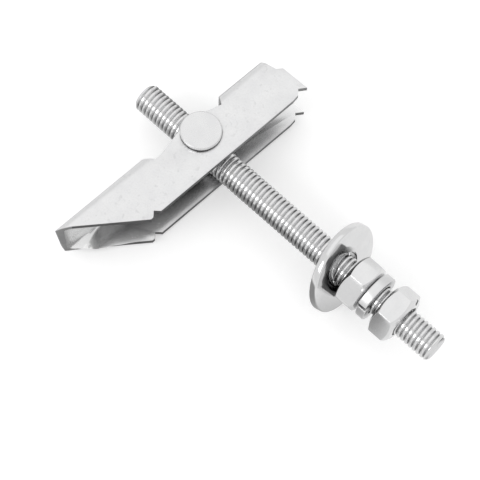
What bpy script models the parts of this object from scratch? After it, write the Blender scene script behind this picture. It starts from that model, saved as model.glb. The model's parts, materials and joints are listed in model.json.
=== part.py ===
# Gravity toggle bolt: a folded channel that swings on a cross nut, on a threaded rod with washers and nuts.
# Metres, +Z up. The bolt lies on its side as it comes to rest: on the flat washer's rim, on one head of the
# cross nut and on the tip of the channel's long arm.

import math

import bmesh
import bpy
from mathutils import Vector

# Threaded rod. The washer and the nuts are placed from its wall end, where they sit.
rod_length = 0.1
rod_diameter = 0.0079
rod_end_chamfer = 0.0009
thread_clearance = 0.0001

# Cross nut: turned barrel, with a stub and a riveted head at each end
pin_from_tip = 0.0203
barrel_diameter = 0.012
stub_diameter = 0.007
stub_clearance = 0.0001
head_diameter = 0.0107
head_thickness = 0.001
head_edge = 0.00025
side_play = 0.00015

# Toggle channel. Heights are from the pin axis, positive towards the spine.
# Stations are along the channel from the pin axis, positive towards the short arm.
sheet = 0.0015
channel_width = 0.0156
bend_outer_radius = 0.0025
spine_height = 0.005
bearing_height = -0.0093
swing_at_rest = math.radians(-3.9)
long_spine_end = -0.0444
long_end_skew = 0.00125
long_end_land = 0.0004
short_spine_end = 0.02495
long_gap_end = -0.0159
short_gap_end = 0.01065
gap_floor_height = 0.0022
gap_floor_width = 0.0018
long_gap_slope = 0.0024
short_gap_slope = 0.0016
ear_radius = 0.00467
long_taper_start = -0.02515
long_taper_end = -0.0408
long_taper_height = 0.0024
short_arm_end = 0.0284
short_step_station = 0.0277
short_step_height = -0.0008
short_relief_station = 0.0262
short_relief_height = 0.0003
long_notch = -0.0231
short_notch = 0.0265
notch_depth = 0.0013
notch_half_width = 0.0013
short_edge_ease_station = 0.0232
short_edge_ease = 0.0003

# Flat washer
washer_diameter = 0.0242
washer_thickness = 0.002
washer_hole = 0.0092
washer_edge = 0.0003
washer_from_end = 0.0311
washer_lean_turn = math.radians(-20)

# Hexagon nuts
nut_across_flats = 0.013
nut_height = 0.0064
nut_chamfer_inset = 0.0009
nut_chamfer_angle = math.radians(32)
nut_countersink = 0.0004
inner_nut_from_end = 0.0249
inner_nut_turn = math.radians(18)
outer_nut_from_end = 0.0137
outer_nut_turn = math.radians(36.8)

# Spring washer
spring_diameter = 0.0127
spring_thickness = 0.0025
spring_rise = 0.0005
spring_split = math.radians(7)
spring_split_turn = math.radians(240)
spring_gap = 0.0002

# Fineness of round shapes
round_segments = 64
small_segments = 48
bend_segments = 6
ear_segments = 8
spring_segments = 56

bore_diameter = rod_diameter + 2 * thread_clearance


def clear_scene():
    for item in list(bpy.data.objects):
        bpy.data.objects.remove(item, do_unlink=True)


def zinc_steel(name, color, roughness):
    material = bpy.data.materials.new(name)
    material.use_nodes = True
    shader = material.node_tree.nodes["Principled BSDF"]
    shader.inputs["Base Color"].default_value = (*color, 1.0)
    shader.inputs["Metallic"].default_value = 1.0
    shader.inputs["Roughness"].default_value = roughness
    return material


def add_object(name, bm, material=None):
    bmesh.ops.recalc_face_normals(bm, faces=bm.faces)
    mesh = bpy.data.meshes.new(name)
    bm.to_mesh(mesh)
    bm.free()
    mesh.shade_smooth()
    mesh.set_sharp_from_angle(angle=math.radians(30))
    item = bpy.data.objects.new(name, mesh)
    bpy.context.collection.objects.link(item)
    if material:
        mesh.materials.append(material)
    return item


def hide_cutter(item):
    item.hide_render = True
    item.display_type = "WIRE"


def cut(item, cutter, operation="DIFFERENCE"):
    hide_cutter(cutter)
    cutter.parent = item
    modifier = item.modifiers.new(cutter.name, "BOOLEAN")
    modifier.operation = operation
    modifier.solver = "EXACT"
    modifier.object = cutter


def empty(name, parent=None):
    item = bpy.data.objects.new(name, None)
    bpy.context.collection.objects.link(item)
    item.parent = parent
    return item


def turned(profile, segments, closed=False):
    # Turns a profile of (radius, z) points about local Z. A closed profile makes a ring.
    bm = bmesh.new()
    verts = [bm.verts.new((radius, 0, z)) for radius, z in profile]
    edges = [bm.edges.new(pair) for pair in zip(verts, verts[1:])]
    if closed:
        edges.append(bm.edges.new((verts[-1], verts[0])))
    bmesh.ops.spin(
        bm, geom=verts + edges, cent=(0, 0, 0), axis=(0, 0, 1), angle=2 * math.pi, steps=segments
    )
    bmesh.ops.remove_doubles(bm, verts=bm.verts, dist=1e-7)
    return bm


def add_prism(bm, outline, low, high, lengthwise=False):
    # Extrudes a flat outline of (x, y) points along z, or one of (x, z) points along y.
    place = (lambda u, v, w: (u, w, v)) if lengthwise else (lambda u, v, w: (u, v, w))
    bottom = [bm.verts.new(place(u, v, low)) for u, v in outline]
    top = [bm.verts.new(place(u, v, high)) for u, v in outline]
    bm.faces.new(reversed(bottom))
    bm.faces.new(top)
    for index, corner in enumerate(bottom):
        after = (index + 1) % len(bottom)
        bm.faces.new((corner, bottom[after], top[after], top[index]))


def prism(outline, low, high, lengthwise=False):
    bm = bmesh.new()
    add_prism(bm, outline, low, high, lengthwise)
    return bm


def arc(centre, radius, start, end, steps):
    return [
        (
            centre[0] + radius * math.cos(start + (end - start) * step / steps),
            centre[1] + radius * math.sin(start + (end - start) * step / steps),
        )
        for step in range(steps + 1)
    ]


def make_rod(material):
    radius = rod_diameter / 2
    profile = [
        (0, 0),
        (radius - rod_end_chamfer, 0),
        (radius, rod_end_chamfer),
        (radius, rod_length - rod_end_chamfer),
        (radius - rod_end_chamfer, rod_length),
        (0, rod_length),
    ]
    return add_object("threaded_rod", turned(profile, small_segments), material)


def make_cross_nut(material):
    barrel_end = channel_width / 2 - sheet - side_play
    head_inner = channel_width / 2 + side_play
    head_outer = head_inner + head_thickness
    head_radius = head_diameter / 2
    half = [
        (barrel_diameter / 2, barrel_end),
        (stub_diameter / 2, barrel_end),
        (stub_diameter / 2, head_inner),
        (head_radius, head_inner),
        (head_radius, head_outer - head_edge),
        (head_radius - head_edge, head_outer),
        (0, head_outer),
    ]
    profile = [(radius, -z) for radius, z in reversed(half)] + half
    body = add_object("cross_nut", turned(profile, small_segments), material)
    reach = barrel_diameter
    bore = turned(
        [(0, -reach), (bore_diameter / 2, -reach), (bore_diameter / 2, reach), (0, reach)], small_segments
    )
    cutter = add_object("cross_nut_bore", bore)
    cutter.rotation_euler = (0, math.pi / 2, 0)
    cut(body, cutter)
    return body


def channel_section():
    # The U in (x, z): x runs from the spine towards the open side, z along the pin axis.
    outer = channel_width / 2
    spine = -spine_height
    open_side = -bearing_height + sheet
    centre_x = spine + bend_outer_radius
    centre_z = outer - bend_outer_radius
    inner_radius = bend_outer_radius - sheet
    quarter = math.pi / 2
    points = [(open_side, outer)]
    points += arc((centre_x, centre_z), bend_outer_radius, quarter, 2 * quarter, bend_segments)
    points += arc((centre_x, -centre_z), bend_outer_radius, 2 * quarter, 3 * quarter, bend_segments)
    points += [(open_side, -outer), (open_side, sheet - outer)]
    points += arc((centre_x, -centre_z), inner_radius, 3 * quarter, 2 * quarter, bend_segments)
    points += arc((centre_x, centre_z), inner_radius, 2 * quarter, quarter, bend_segments)
    points += [(open_side, outer - sheet)]
    return points


def tangent_angle(station, height, radius, side):
    # Angle at which a line from the point touches a circle about the pin axis.
    distance = math.hypot(station, height)
    return math.atan2(height, station) + side * math.acos(radius / distance)


def cheek_outline():
    # The folded part's side view without its ears, in (station, height), from the long end of the spine.
    spine = [
        (long_spine_end, spine_height),
        (long_gap_end, spine_height),
        (long_gap_end + long_gap_slope, gap_floor_height),
        (short_gap_end - short_gap_slope, gap_floor_height),
        (short_gap_end, spine_height),
        (short_spine_end, spine_height),
    ]
    short_end = [
        (short_relief_station, short_relief_height),
        (short_step_station, short_step_height),
        (short_arm_end, bearing_height + short_edge_ease),
    ]
    bearing = [
        (short_notch, bearing_height + notch_depth + short_edge_ease),
        (short_notch - notch_half_width, bearing_height + short_edge_ease),
        (short_edge_ease_station, bearing_height),
        (long_notch + notch_half_width, bearing_height),
        (long_notch, bearing_height + notch_depth),
        (long_notch - notch_half_width, bearing_height),
    ]
    long_end = [
        (long_taper_start, bearing_height),
        (long_taper_end, long_taper_height),
        (long_spine_end, spine_height - long_end_land),
    ]
    return spine + short_end + bearing + long_end


def ear_outline():
    # The ear that stands flat behind each pin hole where the spine is cut away.
    long_foot = (long_gap_end + long_gap_slope + gap_floor_width, gap_floor_height)
    short_foot = (short_gap_end - short_gap_slope, gap_floor_height)
    long_touch = tangent_angle(*long_foot, ear_radius, -1)
    short_touch = tangent_angle(*short_foot, ear_radius, 1)
    edge = [long_foot] + arc((0, 0), ear_radius, long_touch, short_touch, ear_segments) + [short_foot]
    return edge + [(short_foot[0], -ear_radius), (long_foot[0], -ear_radius)]


def make_channel(material):
    outer = channel_width / 2
    reach = max(short_arm_end, -long_spine_end) + sheet
    body = add_object("toggle_channel", prism(channel_section(), -reach, reach, True), material)
    outline = [(-height, station) for station, height in cheek_outline()]
    cut(body, add_object("channel_blank", prism(outline, -channel_width, channel_width)), "INTERSECT")
    ear = [(-height, station) for station, height in ear_outline()]
    ears = prism(ear, outer - sheet, outer)
    add_prism(ears, ear, -outer, sheet - outer)
    cut(body, add_object("channel_ears", ears), "UNION")
    # The long end is sheared off a little out of square.
    tip = (long_spine_end, channel_width / 2)
    square = long_spine_end + long_end_skew
    wedge = [tip, (square, -channel_width / 2), (square, -channel_width), (-reach - sheet, -channel_width)]
    wedge.append((-reach - sheet, channel_width / 2))
    shear = bmesh.new()
    add_prism(shear, wedge, -channel_width, channel_width, False)
    item = add_object("channel_end_shear", shear)
    item.rotation_euler = (math.pi / 2, 0, math.pi / 2)
    cut(body, item)
    hole = (stub_diameter + 2 * stub_clearance) / 2
    punch = turned(
        [(0, -channel_width), (hole, -channel_width), (hole, channel_width), (0, channel_width)],
        small_segments,
    )
    cut(body, add_object("channel_pin_holes", punch))
    return body


def washer_lean():
    # A washer with this hole and thickness leans on the thread until its bore binds.
    free_bore = rod_diameter + 2 * thread_clearance
    diagonal = math.hypot(washer_hole, washer_thickness)
    return math.acos(free_bore / diagonal) - math.atan2(washer_thickness, washer_hole)


def make_flat_washer(material):
    outer = washer_diameter / 2
    inner = washer_hole / 2
    half = washer_thickness / 2
    profile = [
        (inner, -half),
        (outer, -half),
        (outer, half - washer_edge),
        (outer - washer_edge, half),
        (inner + washer_edge, half),
        (inner, half - washer_edge),
    ]
    return add_object("flat_washer", turned(profile, round_segments, closed=True), material)


def make_nut(name, material):
    half = nut_height / 2
    corner = nut_across_flats / 2 / math.cos(math.pi / 6)
    hexagon = arc((0, 0), corner, 0, 2 * math.pi, 6)[:-1]
    body = add_object(name, prism(hexagon, -half, half), material)
    face = nut_across_flats / 2 - nut_chamfer_inset
    over = corner + sheet
    drop = (over - face) * math.tan(nut_chamfer_angle)
    envelope = turned(
        [(0, -half), (face, -half), (over, drop - half), (over, half - drop), (face, half), (0, half)],
        round_segments,
    )
    cut(body, add_object(name + "_chamfers", envelope), "INTERSECT")
    bore = bore_diameter / 2
    sink = bore + nut_countersink
    profile = [
        (0, -half - nut_countersink),
        (sink + nut_countersink, -half - nut_countersink),
        (bore, nut_countersink - half),
        (bore, half - nut_countersink),
        (sink + nut_countersink, half + nut_countersink),
        (0, half + nut_countersink),
    ]
    cut(body, add_object(name + "_bore", turned(profile, small_segments)))
    return body


def make_spring_washer(material):
    # One turn of square wire, cut through and sprung apart at the split, wound against the thread.
    outer = spring_diameter / 2
    inner = bore_diameter / 2 + thread_clearance
    edge = washer_edge / 2
    half = spring_thickness / 2
    section = [
        (inner, edge - half),
        (inner + edge, -half),
        (outer - edge, -half),
        (outer, edge - half),
        (outer, half - edge),
        (outer - edge, half),
        (inner + edge, half),
        (inner, half - edge),
    ]
    bm = bmesh.new()
    rings = []
    for step in range(spring_segments + 1):
        share = step / spring_segments
        angle = spring_split / 2 + (2 * math.pi - spring_split) * share
        lift = spring_rise * (0.5 - share)
        rings.append(
            [bm.verts.new((r * math.cos(angle), r * math.sin(angle), z + lift)) for r, z in section]
        )
    count = len(section)
    for ring, following in zip(rings, rings[1:]):
        for side in range(count):
            after = (side + 1) % count
            bm.faces.new((ring[side], ring[after], following[after], following[side]))
    bm.faces.new(rings[0])
    bm.faces.new(reversed(rings[-1]))
    return add_object("spring_washer", bm, material)


def on_rod(item, axis, station, turn=0.0):
    # The bolt axis carries its pieces along its local Z.
    item.parent = axis
    item.location = (0, 0, station)
    item.rotation_euler = (0, 0, turn)


def points_in_frame(item, depsgraph):
    evaluated = item.evaluated_get(depsgraph)
    return [item.matrix_world @ vertex.co for vertex in evaluated.data.vertices]


def lay_on_side(frame, feet, pieces):
    # Finds the plane under the three pieces that touch the ground, and turns the frame to lie on it.
    bpy.context.view_layer.update()
    depsgraph = bpy.context.evaluated_depsgraph_get()
    clouds = [points_in_frame(item, depsgraph) for item in feet]
    up = Vector((0, 0, 1))
    for _ in range(12):
        low = [min(cloud, key=lambda point: point.dot(up)) for cloud in clouds]
        up = (low[1] - low[0]).cross(low[2] - low[0]).normalized()
        if up.z < 0:
            up.negate()
    turn = up.rotation_difference(Vector((0, 0, 1)))
    cloud = [turn @ point for item in pieces for point in points_in_frame(item, depsgraph)]
    sides = [(min(values), max(values)) for values in zip(*cloud)]
    frame.rotation_mode = "QUATERNION"
    frame.rotation_quaternion = turn
    frame.location = (-sum(sides[0]) / 2, -sum(sides[1]) / 2, -sides[2][0])
    bpy.context.view_layer.update()


def build():
    clear_scene()
    bright_zinc = zinc_steel("bright_zinc_rod", (0.80, 0.80, 0.79), 0.28)
    turned_zinc = zinc_steel("bright_zinc_cross_nut", (0.82, 0.82, 0.81), 0.30)
    sheet_zinc = zinc_steel("bright_zinc_channel", (0.83, 0.83, 0.82), 0.32)
    washer_zinc = zinc_steel("bright_zinc_washer", (0.84, 0.84, 0.83), 0.30)
    nut_zinc = zinc_steel("bright_zinc_nut", (0.82, 0.82, 0.81), 0.26)
    spring_zinc = zinc_steel("bright_zinc_spring_washer", (0.78, 0.78, 0.77), 0.30)

    lying = empty("lying_frame")
    bolt_axis = empty("bolt_axis", lying)
    bolt_axis.rotation_euler = (0, math.pi / 2, 0)

    rod = make_rod(bright_zinc)
    on_rod(rod, bolt_axis, 0)

    cross_nut = make_cross_nut(turned_zinc)
    on_rod(cross_nut, bolt_axis, pin_from_tip)
    cross_nut.rotation_euler = (0, -math.pi / 2, 0)

    channel = make_channel(sheet_zinc)
    channel.parent = cross_nut
    channel.rotation_euler = (0, 0, swing_at_rest)

    # The washer leans in the plane that its own turn gives.
    lean = empty("washer_lean", bolt_axis)
    on_rod(lean, bolt_axis, rod_length - washer_from_end, washer_lean_turn)
    flat_washer = make_flat_washer(washer_zinc)
    flat_washer.parent = lean
    flat_washer.rotation_euler = (0, -washer_lean(), 0)

    inner_nut = make_nut("hex_nut_inner", nut_zinc)
    inner_nut_centre = rod_length - inner_nut_from_end
    on_rod(inner_nut, bolt_axis, inner_nut_centre, inner_nut_turn)
    spring_washer = make_spring_washer(spring_zinc)
    spring_centre = inner_nut_centre + (nut_height + spring_thickness + spring_rise) / 2 + spring_gap
    on_rod(spring_washer, bolt_axis, spring_centre, spring_split_turn)
    outer_nut = make_nut("hex_nut_outer", nut_zinc)
    on_rod(outer_nut, bolt_axis, rod_length - outer_nut_from_end, outer_nut_turn)

    pieces = [rod, cross_nut, channel, flat_washer, inner_nut, spring_washer, outer_nut]
    lay_on_side(lying, [flat_washer, cross_nut, channel], pieces)


build()
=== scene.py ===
import json
import math

import bmesh
import bpy
from mathutils import Matrix, Vector


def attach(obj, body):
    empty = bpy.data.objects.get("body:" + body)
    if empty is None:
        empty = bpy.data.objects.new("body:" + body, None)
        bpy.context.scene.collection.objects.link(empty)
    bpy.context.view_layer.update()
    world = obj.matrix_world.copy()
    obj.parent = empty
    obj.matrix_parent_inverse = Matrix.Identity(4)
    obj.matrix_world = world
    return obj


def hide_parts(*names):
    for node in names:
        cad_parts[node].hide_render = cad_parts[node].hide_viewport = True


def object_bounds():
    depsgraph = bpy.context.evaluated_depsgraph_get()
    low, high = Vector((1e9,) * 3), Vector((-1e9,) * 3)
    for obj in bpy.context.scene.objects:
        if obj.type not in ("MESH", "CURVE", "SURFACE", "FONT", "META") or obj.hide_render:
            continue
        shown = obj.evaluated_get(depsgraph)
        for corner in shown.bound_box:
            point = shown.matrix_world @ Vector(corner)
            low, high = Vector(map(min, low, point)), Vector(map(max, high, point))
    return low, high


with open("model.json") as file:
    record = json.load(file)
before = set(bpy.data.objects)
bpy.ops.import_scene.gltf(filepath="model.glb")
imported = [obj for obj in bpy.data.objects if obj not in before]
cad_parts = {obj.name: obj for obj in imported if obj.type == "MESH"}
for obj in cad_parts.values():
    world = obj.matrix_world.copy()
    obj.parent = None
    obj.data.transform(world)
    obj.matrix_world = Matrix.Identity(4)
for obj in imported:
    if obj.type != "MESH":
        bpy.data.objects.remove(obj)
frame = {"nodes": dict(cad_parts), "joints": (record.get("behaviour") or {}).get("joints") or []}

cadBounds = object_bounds()
mm = 0.001
samePoint = 1e-6  # corners closer than this, in metres, are one

# The bolt's own frame: X along the rod from its toggle end, Z along the cross nut's pin, origin at the rod's end.
joints = {joint["name"]: joint for joint in frame["joints"]}
rodAxis = -Vector(joints["cross_nut_travel"]["axis"]).normalized()
pinAxis = Vector(joints["toggle_swing"]["axis"]).normalized()
pinCentre = Vector(joints["toggle_swing"]["pos_m"])
sideAxis = pinAxis.cross(rodAxis).normalized()


def alongRod(node):
    # The lowest and highest places of a CAD node along the rod, from the pin's axis.
    steps = [(vertex.co - pinCentre).dot(rodAxis) for vertex in frame["nodes"][node].data.vertices]
    return min(steps), max(steps)


rodStart, rodStop = alongRod("threaded_rod")
boltFrame = Matrix.Translation(pinCentre + rodAxis * rodStart) @ Matrix(
    (rodAxis, sideAxis, rodAxis.cross(sideAxis))
).transposed().to_4x4()
rodLength = rodStop - rodStart
pinFromTip = -rodStart
print("frame loaded, rod of", round(rodLength / mm, 1), "mm")


def link(item):
    bpy.context.scene.collection.objects.link(item)
    return item


def finishPiece(item, node, body, slot, *materials):
    # The new piece takes the CAD node's place on its body. Clearing the materials resets the faces' kinds.
    kinds = [face.material_index for face in item.data.polygons]
    item.data.materials.clear()
    for material in materials:
        item.data.materials.append(material)
    item.data.polygons.foreach_set("material_index", [min(kind, len(materials) - 1) for kind in kinds])
    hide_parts(node)
    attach(item, body)
    return item


def plainMesh(item, name):
    # The evaluated result of an object as a mesh of its own, with no modifiers left.
    graph = bpy.context.evaluated_depsgraph_get()
    mesh = bpy.data.meshes.new_from_object(item.evaluated_get(graph))
    mesh.name = name
    made = link(bpy.data.objects.new(name, mesh))
    bpy.data.objects.remove(item, do_unlink=True)
    return made


class TreeBuilder:
    # Short ways to add and join nodes.
    def __init__(self, tree):
        self.tree = tree

    def node(self, kind, **settings):
        made = self.tree.nodes.new(kind)
        for key, value in settings.items():
            setattr(made, key, value)
        return made

    def join(self, source, target):
        self.tree.links.new(source, target)

    def put(self, socket, value):
        if isinstance(value, bpy.types.NodeSocket):
            self.join(value, socket)
        else:
            socket.default_value = value

    def maths(self, operation, *values):
        made = self.node("ShaderNodeMath", operation=operation)
        for socket, value in zip(made.inputs, values):
            self.put(socket, value)
        return made.outputs[0]

    def ramp(self, value, low, high, start, stop, **settings):
        # Goes from low to high as the value goes from start to stop.
        made = self.node("ShaderNodeMapRange", **settings)
        for label, number in (
            ("Value", value), ("To Min", low), ("To Max", high), ("From Min", start), ("From Max", stop),
        ):
            self.put(made.inputs[label], number)
        return made.outputs[0]

    def gap(self, place, point):
        # How far each place is from one point.
        made = self.node("ShaderNodeVectorMath", operation="DISTANCE")
        self.join(place, made.inputs[0])
        made.inputs[1].default_value = point
        return made.outputs["Value"]


class ZincBuilder(TreeBuilder):
    # A finish's nodes, with each place on the surface in the bolt's own frame.
    def __init__(self, tree):
        super().__init__(tree)
        turn = self.node("ShaderNodeMapping", vector_type="TEXTURE")
        turn.inputs["Location"].default_value = boltFrame.translation
        turn.inputs["Rotation"].default_value = boltFrame.to_euler()
        self.join(self.node("ShaderNodeTexCoord").outputs["Object"], turn.inputs["Vector"])
        self.place = turn.outputs[0]
        parts = self.node("ShaderNodeSeparateXYZ")
        self.join(self.place, parts.inputs[0])
        self.along, self.across, self.height = parts.outputs

    def noise(self, scale, detail, rough):
        made = self.node("ShaderNodeTexNoise")
        self.join(self.place, made.inputs["Vector"])
        for label, number in (("Scale", scale), ("Detail", detail), ("Roughness", rough)):
            made.inputs[label].default_value = number
        return made.outputs["Fac"]

    def fromAxis(self, first, second):
        # How far each place is from an axis, by its two distances across it.
        squares = [self.maths("MULTIPLY", value, value) for value in (first, second)]
        return self.maths("SQRT", self.maths("ADD", *squares))

    def grey(self, value):
        made = self.node("ShaderNodeCombineColor")
        for socket in made.inputs[:3]:
            self.join(value, socket)
        return made.outputs[0]

    def blend(self, share, under, over, way="MIX"):
        # One colour over another. Its colours are the node's sockets 6 and 7, and a tone is three numbers.
        made = self.node("ShaderNodeMix", data_type="RGBA", blend_type=way)
        self.put(made.inputs[0], share)
        for socket, value in zip(made.inputs[6:8], (under, over)):
            self.put(socket, (*value, 1.0) if isinstance(value, tuple) else value)
        return made.outputs[2]


def threadRootShade(build, colour, groove):
    # Painted shade down in the thread, by the distance from the rod's axis, but not on the rod's flat ends. It is
    # darkest in the root along the rod's two sides, turns to a faint painted highlight on the side facing the
    # camera, and is lighter at the wall end.
    radius = build.fromAxis(build.across, build.height)
    deep = build.ramp(radius, 1.0, 0.0, groove["bottom"], groove["top"])
    offEnds = build.ramp(radius, 0.0, 1.0, *groove["endFace"])
    facing = build.maths("ADD", *[build.maths("MULTIPLY", way, weight)
                                  for way, weight in zip((build.across, build.height), groove["wiped"])])
    onSides = build.ramp(build.along, *groove["sideTones"], *groove["wallEnd"])
    root = build.ramp(build.maths("DIVIDE", facing, radius), onSides, groove["topTone"], *groove["turn"])
    return build.blend(build.maths("MULTIPLY", deep, offEnds), colour, build.grey(root), "MULTIPLY")


def lighterInsideEnds(build, colour, ends):
    # Painted light: the inside's colour turns much lighter towards the two ends of the channel.
    near = [build.ramp(build.across, 0.0, 1.0, *ends[arm]) for arm in ("long", "short")]
    return build.blend(build.maths("MAXIMUM", *near), colour, ends["tone"])


def headFootShadow(build, colour, foot):
    # Painted shadow in the corner at the foot of each riveted head, thickest on the side of the nuts.
    fromPin = build.maths("SUBTRACT", build.along, pinFromTip)
    low = build.ramp(build.maths("ABSOLUTE", build.height), 1.0, 0.0, *foot["height"])
    outer = build.ramp(build.fromAxis(fromPin, build.across), 0.0, 1.0, *foot["radii"])
    side = build.ramp(fromPin, foot["least"], 1.0, *foot["turn"])
    return build.blend(build.maths("MULTIPLY", build.maths("MULTIPLY", low, outer), side), colour, foot["tone"])


def lightScuffs(build, colour, scuffs):
    # Sparse small scuffs.
    share = build.ramp(build.noise(*scuffs["grain"]), 0.0, scuffs["most"], *scuffs["between"])
    return build.blend(share, colour, scuffs["tone"], "MULTIPLY")


def darkDash(build, colour, nick):
    # One short dark mark, along the given points.
    nearest, *others = [build.gap(build.place, Vector(point) * mm) for point in nick["points"]]
    for other in others:
        nearest = build.maths("MINIMUM", nearest, other)
    return build.blend(build.ramp(nearest, 1.0, 0.0, *nick["radii"]), colour, nick["tone"])


# The blotches, specks, drag lines and waves are each a noise's scale, detail and roughness. What ends in Between is
# the part of that noise over which a tone or the roughness changes.
brightZinc = {
    "dark": (0.745, 0.745, 0.75),
    "light": (0.785, 0.785, 0.785),
    "blotches": (260.0, 5.0, 0.55),
    "blotchBetween": (0.3, 0.72),
    "roughness": (0.22, 0.3),
    "roughBetween": (0.7, 0.3),
    "specks": (2340.0, 3.0, 0.7),
    "speckShare": 0.06,
    "speckTones": (0.6, 1.0),
    "speckBetween": (0.3, 0.6),
    "speckRough": 0.08,
    "speckRoughBetween": (0.5, 0.7),
    "drag": (900.0, 3.0, 0.6),
    "dragStrength": 0.25,
    "dragDepth": 0.02 * mm,
    "wave": (90.0, 2.0, 0.4),
    "waveStrength": 0.06,
    "waveDepth": 0.4 * mm,
}
# Zinc darkened as painted shade, for faces that lie in shade: the channel's inside, sheared edges, bores and the
# nuts' hidden sides.
shadedZinc = {**brightZinc, "dark": (0.46, 0.46, 0.465), "light": (0.54, 0.54, 0.54), "roughness": (0.26, 0.36)}
# Colour steps: painted shade and a faint painted highlight in the thread, painted light at the inside's ends,
# painted shadow at the heads' foot, scuffs and a dark mark.
wearAndShade = {"groove": threadRootShade, "ends": lighterInsideEnds, "foot": headFootShadow, "scuffs": lightScuffs, "nick": darkDash}


def zincPlate(name, look):
    # Bright zinc: a faint mottle in colour and sheen, specks, the wear, painted light and painted shade it is given,
    # drag lines and a slow waviness.
    material = bpy.data.materials.new(name)
    material.use_nodes = True
    build = ZincBuilder(material.node_tree)
    shader = material.node_tree.nodes["Principled BSDF"]
    shader.inputs["Metallic"].default_value = 1.0

    blotch = build.noise(*look["blotches"])
    speck = build.noise(*look["specks"])
    colour = build.blend(build.ramp(blotch, 0.0, 1.0, *look["blotchBetween"]), look["dark"], look["light"])
    fleck = build.grey(build.ramp(speck, *look["speckTones"], *look["speckBetween"]))
    colour = build.blend(look["speckShare"], colour, fleck, "MULTIPLY")
    for key, addWearAndShade in wearAndShade.items():
        if key in look:
            colour = addWearAndShade(build, colour, look[key])
    build.join(colour, shader.inputs["Base Color"])

    sheen = build.ramp(blotch, *look["roughness"], *look["roughBetween"])
    sheen = build.maths("ADD", sheen, build.ramp(speck, 0.0, look["speckRough"], *look["speckRoughBetween"]))
    if "groove" in look:
        groove = look["groove"]
        radius = build.fromAxis(build.across, build.height)
        matt = build.ramp(radius, groove["roughness"], 0.0, groove["flank"], groove["crest"])
        sheen = build.maths("ADD", sheen, matt)
    build.join(sheen, shader.inputs["Roughness"])

    bumps = []
    for key in ("drag", "wave"):
        bump = build.node("ShaderNodeBump")
        bump.inputs["Strength"].default_value = look[key + "Strength"]
        bump.inputs["Distance"].default_value = look[key + "Depth"]
        build.join(build.noise(*look[key]), bump.inputs["Height"])
        bumps.append(bump)
    fine, slow = bumps
    build.join(fine.outputs[0], slow.inputs["Normal"])
    build.join(slow.outputs[0], shader.inputs["Normal"])
    return material


# The thread's roots: painted shade and a faint painted highlight in the colour, and extra roughness.
rodGroove = {
    "bottom": 3.3 * mm,  # the painted shade is full up to this radius and ends at the next
    "top": 3.8 * mm,
    "endFace": (3.15 * mm, 3.22 * mm),
    "wiped": (-0.29, 0.957),  # which way the side with the painted highlight looks, across and up
    "turn": (0.45, 0.9),  # how squarely a place looks that way where the painted shade starts to thin, and where it ends
    "topTone": 1.04,
    "sideTones": (0.18, 0.55),  # before and past the wall end's start
    "wallEnd": (80 * mm, 90 * mm),
    "roughness": 0.3,
    "flank": 3.55 * mm,  # the extra roughness is full up to this radius and ends at the next
    "crest": 3.9 * mm,
}
# Painted light on the channel's inside, towards the ends of its long and short arms.
insideEnds = {"long": (-10 * mm, -41 * mm), "short": (16 * mm, 29 * mm), "tone": (0.92, 0.92, 0.92)}
# Painted shadow at the foot of the cross nut's heads.
headFoot = {
    "height": (8.15 * mm, 8.4 * mm),
    "radii": (5.0 * mm, 5.2 * mm),
    "least": 0.35,
    "turn": (-1.0 * mm, 3.0 * mm),
    "tone": (0.03, 0.03, 0.03),
}
sheetScuffs = {"grain": (620.0, 2.0, 0.7), "between": (0.6, 0.7), "most": 0.4, "tone": (0.78, 0.78, 0.78)}
dashOnNut = {
    "points": ((88.97, 5.17, 3.85), (89.12, 4.71, 4.06), (89.23, 4.28, 4.26), (89.31, 4.02, 4.33)),
    "radii": (0.32 * mm, 0.44 * mm),
    "tone": (0.02, 0.02, 0.02),
}
sheetLook = {
    "dark": (0.782, 0.782, 0.788), "light": (0.824, 0.824, 0.824), "roughness": (0.28, 0.38),
    "speckShare": 0.16, "speckRough": 0.12, "drag": (700.0, 3.0, 0.6), "dragStrength": 0.4, "scuffs": sheetScuffs,
}
# Painted shade: the sheared edges' zinc is darkened to stand in for the dark they mirror.
shearedShadeLook = {"dark": (0.24, 0.24, 0.245), "light": (0.34, 0.34, 0.34), "roughness": (0.36, 0.48)}
# Painted shade: the channel's inside is darkened zinc, lighter at its two ends.
insideShadeLook = {
    "roughness": (0.22, 0.27), "speckShare": 0.02, "speckRough": 0.02, "dragStrength": 0.06, "ends": insideEnds,
}
cutEndLook = {"dark": (0.7, 0.7, 0.705), "light": (0.8, 0.8, 0.8), "roughness": (0.3, 0.42)}

rodZinc = zincPlate("rodZinc", {**brightZinc, "roughness": (0.1, 0.18), "groove": rodGroove})
sheetZinc = zincPlate("sheetZinc", {**brightZinc, **sheetLook})
shearedEdgeShadeZinc = zincPlate("shearedEdgeShadeZinc", {**shadedZinc, **shearedShadeLook})
insideShadeZinc = zincPlate("insideShadeZinc", {**shadedZinc, **insideShadeLook})
cutEndZinc = zincPlate("cutEndZinc", {**brightZinc, **cutEndLook})
turnedZinc = zincPlate("turnedZinc", {**brightZinc, "foot": headFoot})
washerZinc = zincPlate("washerZinc", {**brightZinc, "roughness": (0.08, 0.16)})
nutZinc = zincPlate("nutZinc", {**brightZinc, "roughness": (0.14, 0.22), "nick": dashOnNut})
springZinc = zincPlate("springZinc", {**brightZinc, "roughness": (0.3, 0.42)})
# Painted shade on the nuts' hidden sides, which look towards the toggle.
nutBackShadeZinc = zincPlate("nutBackShadeZinc", {**shadedZinc, "dark": (0.14, 0.14, 0.14), "light": (0.19, 0.19, 0.19)})
# Painted shadow in the threaded holes and washer bores.
boreShadeZinc = zincPlate("boreShadeZinc", {**shadedZinc, "dark": (0.03, 0.03, 0.03), "light": (0.06, 0.06, 0.06)})
print("zinc finishes mixed")


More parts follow.
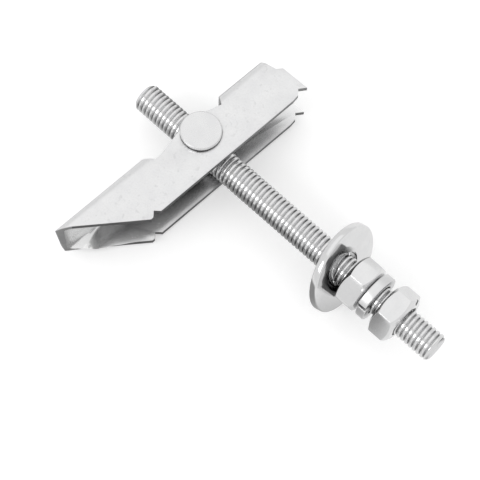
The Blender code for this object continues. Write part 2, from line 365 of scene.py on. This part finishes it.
# The keys are the names of the tree's inputs. Crest Flat is a share of half a turn, and End Slope is that of the
# chamfers at the rod's ends.
rodThread = {
    "Pitch": 1.25 * mm,
    "Crest": 3.93 * mm,
    "Root": 3.27 * mm,
    "Crest Flat": 0.36,
    "Steepening": 1.35,
    "End Radius": 3.1 * mm,
    "End Slope": 1.0,
    "Columns": 40,
    "Steps": 16,
}
rodSharpFrom = math.radians(50)


def newTree(name, inputs):
    tree = bpy.data.node_groups.new(name, "GeometryNodeTree")
    tree.interface.new_socket("Geometry", in_out="OUTPUT", socket_type="NodeSocketGeometry")
    for label, kind in inputs:
        tree.interface.new_socket(label, in_out="INPUT", socket_type=kind)
    return tree


def setInput(modifier, label, value):
    for socket in modifier.node_group.interface.items_tree:
        if socket.item_type == "SOCKET" and socket.in_out == "INPUT" and socket.name == label:
            modifier[socket.identifier] = value


def threadTree():
    # A sheared grid wound round the rod: each row follows the helix and has one place on the thread's profile.
    sizes = [(label, "NodeSocketInt" if isinstance(value, int) else "NodeSocketFloat")
             for label, value in rodThread.items()]
    tree = newTree("threadRoundRod", [("Length", "NodeSocketFloat"), *sizes, ("Material", "NodeSocketMaterial")])
    build = TreeBuilder(tree)
    given = build.node("NodeGroupInput").outputs
    # Two turns more than the rod has: one for the shear and one to spare.
    turns = build.maths("ADD", build.maths("CEIL", build.maths("DIVIDE", given["Length"], given["Pitch"])), 2.0)
    rows = build.maths("MULTIPLY", turns, given["Steps"])
    grid = build.node("GeometryNodeMeshGrid")
    build.join(build.maths("ADD", given["Columns"], 1.0), grid.inputs["Vertices X"])
    build.join(build.maths("ADD", rows, 1.0), grid.inputs["Vertices Y"])
    part = build.node("ShaderNodeSeparateXYZ")
    build.join(grid.outputs["UV Map"], part.inputs[0])
    about, along = part.outputs[0], part.outputs[1]
    row = build.maths("ROUND", build.maths("MULTIPLY", along, rows))
    # A little is added to the row, so that rounding never takes a whole turn for the one before.
    phase = build.maths("FRACT", build.maths("DIVIDE", build.maths("ADD", row, 0.001), given["Steps"]))
    # 0 at the crest's middle and 1 at the root's: a flat, then a slope that steepens into a narrow root.
    fold = build.maths("ABSOLUTE", build.maths("SUBTRACT", build.maths("MULTIPLY", phase, 2.0), 1.0))
    slope = build.ramp(build.maths("SUBTRACT", 1.0, fold), 0.0, 1.0, given["Crest Flat"], 1.0)
    depth = build.maths("SUBTRACT", given["Crest"], given["Root"])
    drop = build.maths("MULTIPLY", depth, build.maths("POWER", slope, given["Steepening"]))
    profile = build.maths("SUBTRACT", given["Crest"], drop)
    turn = build.maths("ADD", build.maths("DIVIDE", row, given["Steps"]), build.maths("SUBTRACT", about, 1.0))
    run = build.maths("MULTIPLY", turn, given["Pitch"])
    height = build.maths("MAXIMUM", 0.0, build.maths("MINIMUM", run, given["Length"]))

    def cone(distance):
        # The radius that the chamfer leaves at a distance from the rod's end.
        return build.maths("ADD", given["End Radius"], build.maths("MULTIPLY", distance, given["End Slope"]))

    radius = build.maths("MINIMUM", profile, cone(height))
    radius = build.maths("MINIMUM", radius, cone(build.maths("SUBTRACT", given["Length"], height)))
    angle = build.maths("MULTIPLY", about, 2 * math.pi)
    spot = build.node("ShaderNodeCombineXYZ")
    build.join(height, spot.inputs[0])
    build.join(build.maths("MULTIPLY", radius, build.maths("COSINE", angle)), spot.inputs[1])
    build.join(build.maths("MULTIPLY", radius, build.maths("SINE", angle)), spot.inputs[2])
    wound = build.node("GeometryNodeSetPosition")
    build.join(grid.outputs["Mesh"], wound.inputs["Geometry"])
    build.join(spot.outputs[0], wound.inputs["Position"])
    joined = build.node("GeometryNodeJoinGeometry")
    build.join(wound.outputs[0], joined.inputs[0])
    for atEnd in (0.0, 1.0):
        disc = build.node("GeometryNodeMeshCircle", fill_type="NGON")
        build.join(given["Columns"], disc.inputs["Vertices"])
        build.join(given["End Radius"], disc.inputs["Radius"])
        place = build.node("GeometryNodeTransform")
        away = build.node("ShaderNodeCombineXYZ")
        build.join(build.maths("MULTIPLY", given["Length"], atEnd), away.inputs[0])
        # The disc's own XY becomes the rod's YZ.
        place.inputs["Rotation"].default_value = (math.pi / 2, 0.0, math.pi / 2)
        build.join(away.outputs[0], place.inputs["Translation"])
        build.join(disc.outputs[0], place.inputs["Geometry"])
        build.join(place.outputs[0], joined.inputs[0])
    merged = build.node("GeometryNodeMergeByDistance")
    merged.inputs["Distance"].default_value = samePoint
    build.join(joined.outputs[0], merged.inputs["Geometry"])
    smooth = build.node("GeometryNodeSetShadeSmooth")
    build.join(merged.outputs[0], smooth.inputs["Geometry"])
    real = build.node("GeometryNodeRealizeInstances")
    build.join(smooth.outputs[0], real.inputs[0])
    dressed = build.node("GeometryNodeSetMaterial")
    build.join(real.outputs[0], dressed.inputs["Geometry"])
    build.join(given["Material"], dressed.inputs["Material"])
    build.join(dressed.outputs[0], build.node("NodeGroupOutput").inputs[0])
    return tree


def makeRod(material):
    holder = link(bpy.data.objects.new("rodHolder", bpy.data.meshes.new("rodHolder")))
    modifier = holder.modifiers.new("thread", "NODES")
    modifier.node_group = threadTree()
    for label, value in {"Length": rodLength, "Material": material, **rodThread}.items():
        setInput(modifier, label, value)
    rod = plainMesh(holder, "threadedRod")
    body = bmesh.new()
    body.from_mesh(rod.data)
    bmesh.ops.recalc_face_normals(body, faces=body.faces)
    body.to_mesh(rod.data)
    body.free()
    rod.data.set_sharp_from_angle(angle=rodSharpFrom)
    rod.data.transform(boltFrame)
    return finishPiece(rod, "threaded_rod", "rod", "bright_zinc_rod", material)


# The channel's own frame: X from its spine to its open side, Y along it towards the short arm, Z along the pin.
channelSheet = {
    "swingAtRest": math.radians(-3.9),
    "sheet": 1.5 * mm,
    "bendRadius": 2.5 * mm,
    "spineDepth": 3.7 * mm,  # a face nearer the spine's back than this is the spine's or the bend's
    "insideFrom": 0.7,  # a cheek's inside lies deeper than this share of the sheet
    "turned": 0.3,  # how far a face turns before it counts as one of the next side
    "squareOn": 0.7,  # how squarely an arm's cut end looks along the channel
    "longEndFrom": -40.95 * mm,
    "shortEndFrom": 27.5 * mm,
}
channelKinds = {"outside": 0, "sheared": 1, "inside": 2, "cutEnd": 3}

# Near the long arm's tip the lower fold is worked rounder inside: places along the channel in millimetres, with how
# far the corner fills there on the cheek and on the spine. Towards the tip the fill on the cheek is narrower.
roundedFold = {
    "places": (-45.0, -43.0, -41.0, -39.0, -36.5, -33.0, -28.0),
    "onCheek": (0.3, 0.4, 0.6, 0.95, 0.7, 0.2, 0.0),
    "onSpine": (0.0, 0.1, 0.4, 1.0, 1.3, 0.5, 0.0),
    "reach": 3.6 * mm,
    "cutsAlong": 18,
    "cutsAcross": 6,
    "narrowTo": -40.8 * mm,
    "narrowDepth": 1.3 * mm,
    "widening": 0.75,
    "spineSlant": 0.05,  # a face that looks to the open side by more than this is the spine's inside
    "cheekSlant": 0.9,
    "faceWithin": 0.05 * mm,
    "cornerWithin": 0.01 * mm,
}


def channelFrame():
    turn = Matrix.Translation((pinFromTip, 0.0, 0.0)) @ Matrix.Rotation(channelSheet["swingAtRest"], 4, "Z")
    return boltFrame @ turn


def channelFaceKind(normal, centre, spine, halfWidth):
    atSpine = centre.x - spine < channelSheet["spineDepth"]
    if abs(normal.z) > channelSheet["turned"]:
        deep = abs(centre.z) < halfWidth - channelSheet["insideFrom"] * channelSheet["sheet"]
        return "inside" if deep and normal.z * centre.z < 0 else "outside"
    if atSpine and abs(normal.y) < channelSheet["turned"]:
        return "inside" if normal.x > 0 else "outside"
    atShortEnd = normal.y > channelSheet["squareOn"] and centre.y > channelSheet["shortEndFrom"]
    atLongEnd = centre.y < channelSheet["longEndFrom"]
    return "cutEnd" if atSpine or atShortEnd or atLongEnd else "sheared"


def sortChannelFaces(mesh):
    toChannel = channelFrame().inverted()
    turnOnly = toChannel.to_3x3()
    corners = [toChannel @ vertex.co for vertex in mesh.vertices]
    spine = min(corner.x for corner in corners)
    halfWidth = max(corner.z for corner in corners)
    for face in mesh.polygons:
        centre = sum((corners[index] for index in face.vertices), Vector()) / len(face.vertices)
        kind = channelFaceKind(turnOnly @ face.normal, centre, spine, halfWidth)
        face.material_index = channelKinds[kind]


def alongFold(place, key):
    # How far the rounded fold fills in at a place along the channel, eased between the places listed.
    places, fills = roundedFold["places"], roundedFold[key]
    spot = min(max(place / mm, places[0]), places[-1])
    step = max(index for index, start in enumerate(places[:-1]) if start <= spot)
    share = (spot - places[step]) / (places[step + 1] - places[step])
    share = share * share * (3 - 2 * share)
    return (fills[step] + (fills[step + 1] - fills[step]) * share) * mm


def roundFold(body):
    # Cuts the inside of the lower fold near the tip into a fine grid, and rounds the corner there.
    frameHere = channelFrame()
    body.transform(frameHere.inverted())
    spine = min(vertex.co.x for vertex in body.verts)
    halfWidth = max(vertex.co.z for vertex in body.verts)
    inner = spine + channelSheet["sheet"]
    face = halfWidth - channelSheet["sheet"]
    bend, reach = channelSheet["bendRadius"], roundedFold["reach"]
    first, last = roundedFold["places"][0] * mm, roundedFold["places"][-1] * mm
    cutsAlong, cutsAcross = roundedFold["cutsAlong"], roundedFold["cutsAcross"]
    cuts = [((0.0, first + (last - first) * step / cutsAlong, 0.0), (0.0, 1.0, 0.0))
            for step in range(1, cutsAlong + 1)]
    # The first step across, next to the corner, is left out: the bend's own faces are there.
    cuts += [((inner + reach * step / cutsAcross, 0.0, 0.0), (1.0, 0.0, 0.0)) for step in range(2, cutsAcross + 1)]
    cuts += [((0.0, 0.0, reach * step / cutsAcross - face), (0.0, 0.0, 1.0)) for step in range(2, cutsAcross + 1)]

    def isInside(piece):
        centre = piece.calc_center_median()
        onSpine = piece.normal.x > roundedFold["spineSlant"] and centre.x < spine + bend
        onCheek = piece.normal.z > roundedFold["cheekSlant"] and abs(centre.z + face) < roundedFold["faceWithin"]
        return onSpine or onCheek

    body.normal_update()
    for place, normal in cuts:
        inside = [piece for piece in body.faces if isInside(piece)]
        around = list({edge for piece in inside for edge in piece.edges})
        corners = list({vertex for piece in inside for vertex in piece.verts})
        bmesh.ops.bisect_plane(body, geom=inside + around + corners, dist=samePoint, plane_co=place, plane_no=normal)
    for vertex in body.verts:
        spot = vertex.co
        if not (-face - samePoint < spot.z < 0 and spot.x > inner - samePoint and spot.y < last):
            continue
        offSpine = spot.x - inner
        offCheek = face - abs(spot.z)
        nearCorner = offSpine < bend and offCheek < bend
        if not nearCorner and min(abs(offSpine), abs(offCheek)) >= roundedFold["cornerWithin"]:
            continue
        width = roundedFold["narrowDepth"] + roundedFold["widening"] * max(0.0, spot.y - roundedFold["narrowTo"])
        fillCheek = alongFold(spot.y, "onCheek") * max(0.0, 1 - offSpine / min(reach, width)) ** 2
        fillSpine = alongFold(spot.y, "onSpine") * max(0.0, 1 - offCheek / reach) ** 2
        spot.z += fillCheek
        spot.x += fillSpine
    body.transform(frameHere)
    body.normal_update()


# A threaded hole's faces lie within the reach and look inwards. A nut's hidden side looks towards the toggle by more
# than the slant given for it.
threadedHole = {
    "reach": 4.5 * mm,
    "inward": 0.3,
    "hiddenSlant": {"hex_nut_inner": 0.6, "hex_nut_outer": 0.97},
}
# Bores and the nuts' hidden sides are given darkened zinc as painted shade.
holeKinds = {"outer": 0, "bore": 1, "hidden": 2}


def sortBoreFaces(mesh, node):
    toBolt = boltFrame.inverted()
    turnOnly = toBolt.to_3x3()
    for face in mesh.polygons:
        centre = toBolt @ face.center
        normal = turnOnly @ face.normal
        away = Vector((centre.y, centre.z))
        inward = normal.y * centre.y + normal.z * centre.z < -threadedHole["inward"] * away.length
        if inward and away.length < threadedHole["reach"]:
            kind = "bore"
        elif node in threadedHole["hiddenSlant"] and -normal.x > threadedHole["hiddenSlant"][node]:
            kind = "hidden"
        else:
            kind = "outer"
        face.material_index = holeKinds[kind]


edgeWidths = {
    "toggle_channel": 0.12 * mm,
    "cross_nut": 0.12 * mm,
    "flat_washer": 0.15 * mm,
    "hex_nut_inner": 0.06 * mm,
    "hex_nut_outer": 0.12 * mm,
    "spring_washer": 0.1 * mm,
}
easing = {"segments": 2, "edgeFrom": math.radians(30), "flatWithin": math.radians(0.5)}


def easedCopy(node, name):
    # A merged copy of a CAD node with its flats dissolved into single faces and its edges rounded.
    mesh = frame["nodes"][node].data.copy()
    mesh.name = name
    body = bmesh.new()
    body.from_mesh(mesh)
    bmesh.ops.remove_doubles(body, verts=body.verts, dist=samePoint)
    bmesh.ops.dissolve_limit(body, angle_limit=easing["flatWithin"], verts=body.verts, edges=body.edges)
    if node == "toggle_channel":
        roundFold(body)
    body.to_mesh(mesh)
    body.free()
    if node == "toggle_channel":
        sortChannelFaces(mesh)
    elif node != "cross_nut":
        sortBoreFaces(mesh, node)
    item = link(bpy.data.objects.new(name, mesh))
    bevel = item.modifiers.new("easedEdges", "BEVEL")
    bevel.width = edgeWidths[node]
    bevel.segments = easing["segments"]
    bevel.limit_method = "ANGLE"
    bevel.angle_limit = easing["edgeFrom"]
    bevel.miter_outer = "MITER_ARC"
    shade = item.modifiers.new("weightedNormals", "WEIGHTED_NORMAL")
    shade.keep_sharp = True
    made = plainMesh(item, name)
    made.data.shade_smooth()
    return made


floorAndSky = {
    "floorSize": 3.0,
    "floorDrop": 0.1 * mm,
    "floorTone": 0.8,
    "floorGlow": 0.35,
    "skyTone": 0.85,
    # What the metal mirrors of the floor: white further off, and painted shade in two spots close under the bolt,
    # which only reflections show.
    "farTone": 0.95,
    "dimUnderArm": {"centre": (-7 * mm, -30 * mm), "inner": 26 * mm, "outer": 66 * mm, "tone": 0.31},
    "dimBehindRod": {"centre": (-34 * mm, 28 * mm), "inner": 12 * mm, "outer": 36 * mm, "tone": 0.33},
}


def makeFloor():
    half = floorAndSky["floorSize"] / 2
    level = cadBounds[0].z - floorAndSky["floorDrop"]
    body = bmesh.new()
    corners = [(-half, -half), (half, -half), (half, half), (-half, half)]
    body.faces.new([body.verts.new((x, y, level)) for x, y in corners])
    mesh = bpy.data.meshes.new("floor")
    body.to_mesh(mesh)
    body.free()
    floor = link(bpy.data.objects.new("floor", mesh))
    material = bpy.data.materials.new("paleFloor")
    material.use_nodes = True
    material.node_tree.nodes.clear()
    build = TreeBuilder(material.node_tree)
    matt = build.node("ShaderNodeBsdfDiffuse")
    tone = floorAndSky["floorTone"]
    matt.inputs["Color"].default_value = (tone, tone, tone, 1.0)
    rays = build.node("ShaderNodeLightPath").outputs
    seen = build.maths("MAXIMUM", rays["Is Camera Ray"], rays["Is Transmission Ray"])
    glow = build.node("ShaderNodeEmission")
    build.join(build.maths("MULTIPLY", seen, floorAndSky["floorGlow"]), glow.inputs["Strength"])
    lit = build.node("ShaderNodeAddShader")
    build.join(matt.outputs[0], lit.inputs[0])
    build.join(glow.outputs[0], lit.inputs[1])
    place = build.node("ShaderNodeTexCoord").outputs["Object"]
    tones = []
    for key in ("dimUnderArm", "dimBehindRod"):
        spot = floorAndSky[key]
        away = build.gap(place, (*spot["centre"], cadBounds[0].z))
        tones.append(build.ramp(away, spot["tone"], floorAndSky["farTone"], spot["inner"], spot["outer"],
                                interpolation_type="SMOOTHSTEP"))
    # Painted shade: glossy rays see the floor as a glow, dimmer in the two spots.
    mirrored = build.node("ShaderNodeEmission")
    build.join(build.maths("MINIMUM", *tones), mirrored.inputs["Strength"])
    both = build.node("ShaderNodeMixShader")
    build.join(rays["Is Glossy Ray"], both.inputs[0])
    build.join(lit.outputs[0], both.inputs[1])
    build.join(mirrored.outputs[0], both.inputs[2])
    build.join(both.outputs[0], build.node("ShaderNodeOutputMaterial").inputs[0])
    mesh.materials.append(material)


def makeWorld():
    world = bpy.data.worlds.new("plainWorld")
    bpy.context.scene.world = world
    world.use_nodes = True
    world.node_tree.nodes.clear()
    build = TreeBuilder(world.node_tree)
    rays = build.node("ShaderNodeLightPath").outputs
    seen = build.maths("MAXIMUM", rays["Is Camera Ray"], rays["Is Transmission Ray"])
    mixed = build.node("ShaderNodeMixShader")
    build.join(seen, mixed.inputs[0])
    for socket, tone in zip(mixed.inputs[1:3], (floorAndSky["skyTone"], 1.0)):
        sky = build.node("ShaderNodeBackground")
        sky.inputs["Color"].default_value = (tone, tone, tone, 1.0)
        build.join(sky.outputs[0], socket)
    build.join(mixed.outputs[0], build.node("ShaderNodeOutputWorld").inputs[0])


# Each lamp's way from the bolt is in the bolt's own frame, as the camera's is.
lamps = {
    "overheadSoftbox": {"way": (-0.237, 0.282, 0.93), "distance": 0.9, "size": (1.1, 1.1), "watts": 0.77},
    "windowStrip": {"way": (-0.237, -0.718, 0.653), "distance": 0.8, "size": (0.45, 0.3), "watts": 1.35},
}


def makeLamp(name, lamp):
    data = bpy.data.lights.new(name, "AREA")
    data.shape = "RECTANGLE"
    data.size, data.size_y = lamp["size"]
    data.energy = lamp["watts"]
    item = link(bpy.data.objects.new(name, data))
    middle = boltFrame @ Vector((rodLength / 2, 0.0, 0.0))
    away = boltFrame.to_3x3() @ Vector(lamp["way"]).normalized()
    item.location = middle + away * lamp["distance"]
    along = (rodAxis - away * rodAxis.dot(away)).normalized()
    item.rotation_euler = Matrix((along, away.cross(along), away)).transposed().to_euler()


# The camera's place and directions are in the bolt's own frame, so they hold however the bolt lies.
cameraView = {
    "place": Vector((145.09, -130.85, 390.6)) * mm,
    "forward": Vector((-0.2371, 0.2824, -0.9295)),
    "up": Vector((-0.6429, 0.6717, 0.3681)),
    "lens": 125.8,
    "film": 36.0,
    "clip": (0.01, 20.0),
}


def makeCamera():
    data = bpy.data.cameras.new("camera")
    data.lens = cameraView["lens"]
    data.sensor_width = cameraView["film"]
    data.clip_start, data.clip_end = cameraView["clip"]
    item = link(bpy.data.objects.new("camera", data))
    back = -cameraView["forward"].normalized()
    right = cameraView["up"].cross(back).normalized()
    turn = Matrix((right, back.cross(right), back)).transposed().to_4x4()
    item.matrix_world = boltFrame @ Matrix.Translation(cameraView["place"]) @ turn
    bpy.context.scene.camera = item


makeRod(rodZinc)
print("rod threaded")
# Each piece's finishes stand in the order of its faces' kinds.
for node, body, slot, *materials in (
    ("toggle_channel", "toggle", "bright_zinc_channel", sheetZinc, shearedEdgeShadeZinc, insideShadeZinc, cutEndZinc),
    ("cross_nut", "cross_nut", "bright_zinc_cross_nut", turnedZinc),
    ("flat_washer", "flat_washer", "bright_zinc_washer", washerZinc, boreShadeZinc),
    ("hex_nut_inner", "inner_nut", "bright_zinc_nut", nutZinc, boreShadeZinc, nutBackShadeZinc),
    ("hex_nut_outer", "outer_nut", "bright_zinc_nut", nutZinc, boreShadeZinc, nutBackShadeZinc),
    ("spring_washer", "spring_washer", "bright_zinc_spring_washer", springZinc, boreShadeZinc),
):
    first, *rest = node.split("_")
    name = first + "".join(word.capitalize() for word in rest)
    finishPiece(easedCopy(node, name), node, body, slot, *materials)
print("pieces eased")

makeFloor()
makeWorld()
for name, lamp in lamps.items():
    makeLamp(name, lamp)
makeCamera()
bpy.context.scene.view_settings.view_transform = "Standard"
print("set lit")
